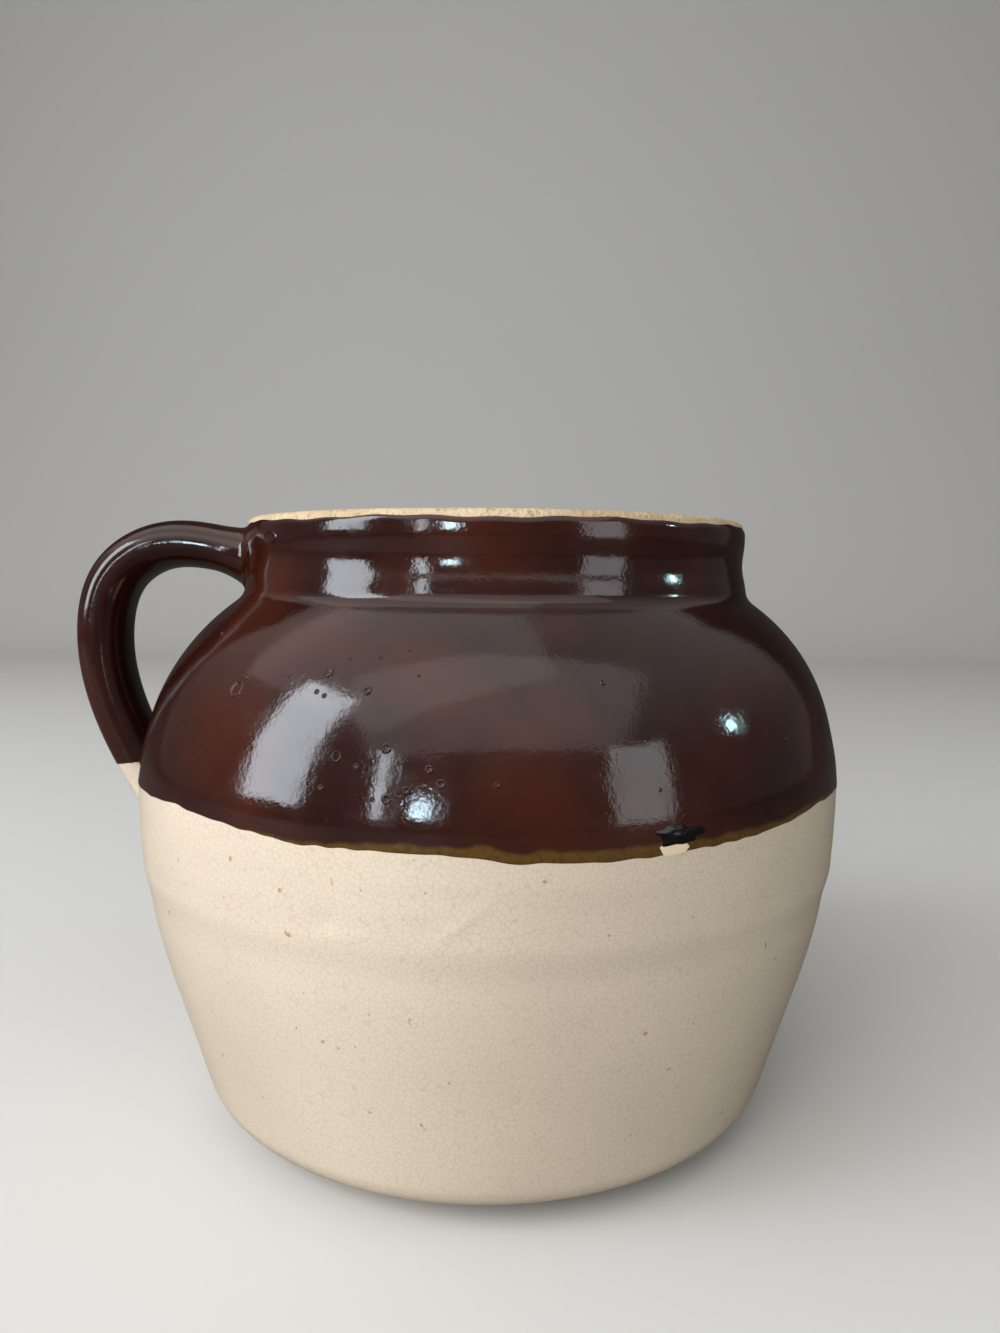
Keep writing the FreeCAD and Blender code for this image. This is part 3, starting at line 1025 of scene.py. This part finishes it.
class POT_OT_coats(bpy.types.Operator):
    """Makes the brown and cream coats on the outside and the lining inside"""

    bl_idname = "pot.coats"
    bl_label = "Glaze coats"

    def execute(self, context):
        s, g, _ = settings(context)
        angle = full_turn(720)
        top = s.rim_height - g.bare_lip + 0.25 * MM * np.sin(9 * angle) + 0.15 * MM * np.sin(31 * angle)
        brown = coat_ring("brown_coat", s, dip_line(angle, g), top, g.brown, g.roll, 130, 0.45 * MM)
        finish_piece(brown, "BrownGlazeEdge", "brown_glaze", "brown_glaze")
        angle = full_turn(480)
        low = g.bare_foot + 0.4 * MM * np.sin(5 * angle)
        cream = coat_ring("cream_coat", s, low, dip_line(angle, g) + UNDERLAP, g.cream, 0.0, 160, 0.6 * MM)
        finish_piece(cream, "CreamGlaze", "cream_glaze", "cream_glaze")
        outer = thinned(inside(s, -SUNK), 120)
        inner = thinned(inside(s, g.lining), 150)
        lining = turned("lining_coat", np.vstack([outer, inner[::-1]]), s, capped, 300)
        finish_piece(lining, "BrownGlaze", "brown_glaze", "lining_glaze")
        return {"FINISHED"}


class POT_OT_marks(bpy.types.Operator):
    """Makes the craters, healed bubbles, pinholes, and the chip with its blister in the brown coat"""

    bl_idname = "pot.marks"
    bl_label = "Glaze marks"

    def execute(self, context):
        s, g, _ = settings(context)
        for name, marks, shape, look, slot, form in MARK_PIECES:
            finish_piece(marks_piece(name, marks, shape, s, g.brown, **form), look, slot)
        return {"FINISHED"}


class POT_OT_strap(bpy.types.Operator):
    """Makes the strap handle, its two coats and the slip round its roots"""

    bl_idname = "pot.strap"
    bl_label = "Strap handle"

    def execute(self, context):
        s, g, h = settings(context)
        dip = dip_share(s, h)
        brown = strap_shell("strap_brown_coat", s, h, g.brown, 0.02, dip)
        finish_piece(brown, "BrownGlaze", "brown_glaze", "handle_brown_glaze")
        cream = strap_shell("strap_cream_coat", s, h, g.cream, dip - 0.01, 0.99, 60)
        finish_piece(cream, "CreamGlaze", "cream_glaze", "handle_cream_glaze")
        clay = strap_shell("strap_clay", s, h, 0.0, 0.0, 1.0, solid=True)
        finish_piece(clay, "BareClay", "bare_clay", "handle")

        root_low, root_high = s.neck_height - 12 * MM, s.rim_height - 2.4 * MM
        tail_low, tail_high = s.girth_height - 30 * MM, s.girth_height + 24 * MM
        root = slip_patch("root_slip", s, h, g.brown, ROOT_TURN, root_low, root_high)
        finish_piece(root, "BrownGlaze", "brown_glaze", "handle_upper_luting")
        tail = slip_patch("tail_slip", s, h, g.cream, TAIL_TURN, tail_low, g.dip_height)
        finish_piece(tail, "CreamGlaze", "cream_glaze", "handle_lower_luting")
        above = slip_patch("tail_slip_above", s, h, g.brown, TAIL_TURN, g.dip_height, tail_high)
        finish_piece(above, "BrownGlaze", "brown_glaze")
        return {"FINISHED"}


class POT_OT_studio(bpy.types.Operator):
    """Makes the floor, the soft lights and the camera"""

    bl_idname = "pot.studio"
    bl_label = "Studio"

    def execute(self, context):
        scene = context.scene
        stage_floor(scene)
        window_lights(scene)
        photo_camera(scene)
        scene.view_settings.view_transform = "Standard"
        return {"FINISHED"}


# Studio


def stage_floor(scene):
    """A pale floor that sweeps up into a backdrop: flat in front, a quarter circle, then upright. Seen in
    the glaze it turns near black: a painted dark reflection."""
    reach, bend, back, height = 3.0, 0.8, 1.6, 3.2
    turn = np.linspace(0, pi / 2, 24)
    y = np.concatenate([[-reach], back + bend * np.sin(turn), [back + bend]])
    z = np.concatenate([[0.0], bend * (1 - np.cos(turn)), [height]])
    points = [(x, *place) for place in zip(y.tolist(), z.tolist()) for x in (-reach, reach)]
    mesh = bpy.data.meshes.new("floor")
    mesh.from_pydata(points, [], grid_faces(len(y), 2, False, False).tolist())
    mesh.shade_smooth()
    sweep = bpy.data.objects.new("floor", mesh)
    scene.collection.objects.link(sweep)
    tree, shader, _ = new_material("Floor")
    # Glossy rays see the floor near black: a painted dark reflection in the glaze
    mirrored = tree.nodes.new("ShaderNodeLightPath").outputs["Is Glossy Ray"]
    colour = mix_node(tree, mirrored, scene.pot_colours.floor, (0.05, 0.047, 0.045))
    feed_all(tree, shader, {"Base Color": colour, "Roughness": 0.8})
    mesh.materials.append(bpy.data.materials["Floor"])


def around(turn, rise, reach):
    """A place at a distance from the pot's middle: turn is in degrees from straight in front towards
    the left, rise in degrees above the level of the middle."""
    level = reach * cos(radians(rise))
    height = POT_MIDDLE[2] + reach * sin(radians(rise))
    return (-level * sin(radians(turn)), -level * cos(radians(turn)), height)


POT_MIDDLE = (0.0, 0.0, 0.11)
# Soft lights: name, place, width and height, power in W, colour, and whether glossy things show them.
# A tall cool window at the left with a glow beside it, two panes near the camera's left, a fill and a
# wide dim veil in front, a dim window and a small lamp at the right, and a wide ceiling
LAMPS = [
    ("left_window", around(66, 24, 1.6), (0.58, 1.15), 13, (0.84, 0.92, 1.0), True),
    ("left_glow", around(84, 4, 1.75), (0.75, 1.2), 14, (0.88, 0.90, 1.0), False),
    ("near_pane", around(31, 13, 1.6), (0.09, 0.62), 1.6, (0.84, 0.92, 1.0), True),
    ("bright_pane", around(18, 8, 1.6), (0.17, 0.22), 2.6, (0.66, 0.88, 1.0), True),
    ("front_fill", around(36, 28, 1.6), (1.2, 1.2), 16, (1.0, 0.99, 0.97), False),
    ("front_veil", around(-2, 50, 1.9), (3.0, 1.7), 7.5, (1.0, 0.96, 0.94), True),
    ("right_window", around(-46, 10, 1.6), (0.50, 0.70), 1.9, (0.92, 0.95, 1.0), True),
    ("right_lamp", around(-83, 19, 1.6), (0.07, 0.09), 0.9, (0.55, 0.95, 1.0), True),
    ("ceiling", (-0.9, -0.3, 2.4), (3.2, 3.0), 12, (1.0, 0.98, 0.96), True),
]


def window_lights(scene):
    """The lamps of the table, each a rectangle that looks at the pot's middle, and a pale room that
    is brighter above."""
    for name, place, size, energy, colour, mirrored in LAMPS:
        data = bpy.data.lights.new(name, "AREA")
        data.shape = "RECTANGLE"
        data.size, data.size_y = size
        data.energy = energy
        data.color = colour
        lamp = bpy.data.objects.new(name, data)
        lamp.location = place
        aim = Vector(POT_MIDDLE) - Vector(place)
        lamp.rotation_euler = aim.to_track_quat("-Z", "Y").to_euler()
        lamp.visible_glossy = mirrored
        scene.collection.objects.link(lamp)
    scene.world = bpy.data.worlds.new("Room")
    scene.world.use_nodes = True
    tree = scene.world.node_tree
    axes = tree.nodes.new("ShaderNodeSeparateXYZ")
    feed(tree, axes.inputs[0], tree.nodes.new("ShaderNodeTexCoord").outputs["Generated"])
    strength = range_node(tree, axes.outputs["Z"], 0.15, 0.85, 0.12, 0.50)
    feed_all(tree, tree.nodes["Background"], {"Color": (0.80, 0.79, 0.78), "Strength": strength})


# The photograph's view: place, degrees down and of roll, lens and sensor in mm
CAMERA_PLACE = (3.09 * MM, -305.6 * MM, 155.9 * MM)
CAMERA_TILT, CAMERA_ROLL, CAMERA_LENS, CAMERA_SENSOR = 5.098, 0.577, 27.0, 36.0


def photo_camera(scene):
    """The photograph's view: the camera looks along y, tilted down and rolled about its own line of
    sight, through a lens of 27 mm on a frame whose long side is 36 mm."""
    tilt, roll = radians(CAMERA_TILT), radians(CAMERA_ROLL)
    right = Vector((1, 0, 0))
    up = Vector((0, sin(tilt), cos(tilt)))
    right, up = right * cos(roll) + up * sin(roll), up * cos(roll) - right * sin(roll)
    data = bpy.data.cameras.new("photo_camera")
    data.lens = CAMERA_LENS
    data.sensor_width = CAMERA_SENSOR
    data.clip_start = 0.01
    camera = bpy.data.objects.new("photo_camera", data)
    turn = Matrix((right, up, right.cross(up))).transposed()
    camera.matrix_world = Matrix.Translation(CAMERA_PLACE) @ turn.to_4x4()
    scene.collection.objects.link(camera)
    scene.camera = camera


class POT_PT_panel(bpy.types.Panel):
    """Lists the pot's pieces and sizes"""

    bl_idname = "POT_PT_panel"
    bl_label = "Stoneware Bean Pot"
    bl_space_type = "VIEW_3D"
    bl_region_type = "UI"
    bl_category = "Bean Pot"

    def draw(self, context):
        for operator in OPERATORS:
            self.layout.operator(operator.bl_idname)
        for name, group in GROUPS.items():
            box = self.layout.box()
            for field in group.__annotations__:
                label = field.replace("_", " ").capitalize()
                box.prop(getattr(context.scene, name), field, text=label)


GROUPS = {
    "pot_sizes": PotSizes,
    "glaze_sizes": GlazeSizes,
    "strap_sizes": StrapSizes,
    "pot_colours": PotColours,
}
OPERATORS = (POT_OT_clay, POT_OT_coats, POT_OT_marks, POT_OT_strap, POT_OT_studio)


def register():
    """Registers the classes and hangs the property groups on the scene."""
    for name, group in GROUPS.items():
        bpy.utils.register_class(group)
        setattr(bpy.types.Scene, name, PointerProperty(type=group))
    for operator in OPERATORS:
        bpy.utils.register_class(operator)
    bpy.utils.register_class(POT_PT_panel)


def unregister():
    """Takes the classes and property groups away again."""
    bpy.utils.unregister_class(POT_PT_panel)
    for operator in reversed(OPERATORS):
        bpy.utils.unregister_class(operator)
    for name, group in reversed(GROUPS.items()):
        delattr(bpy.types.Scene, name)
        bpy.utils.unregister_class(group)


def main():
    """Makes every piece and the studio."""
    register()
    bpy.ops.pot.clay()
    bpy.ops.pot.coats()
    bpy.ops.pot.marks()
    bpy.ops.pot.strap()
    bpy.ops.pot.studio()
    bpy.context.view_layer.update()


if __name__ == "__main__":
    main()
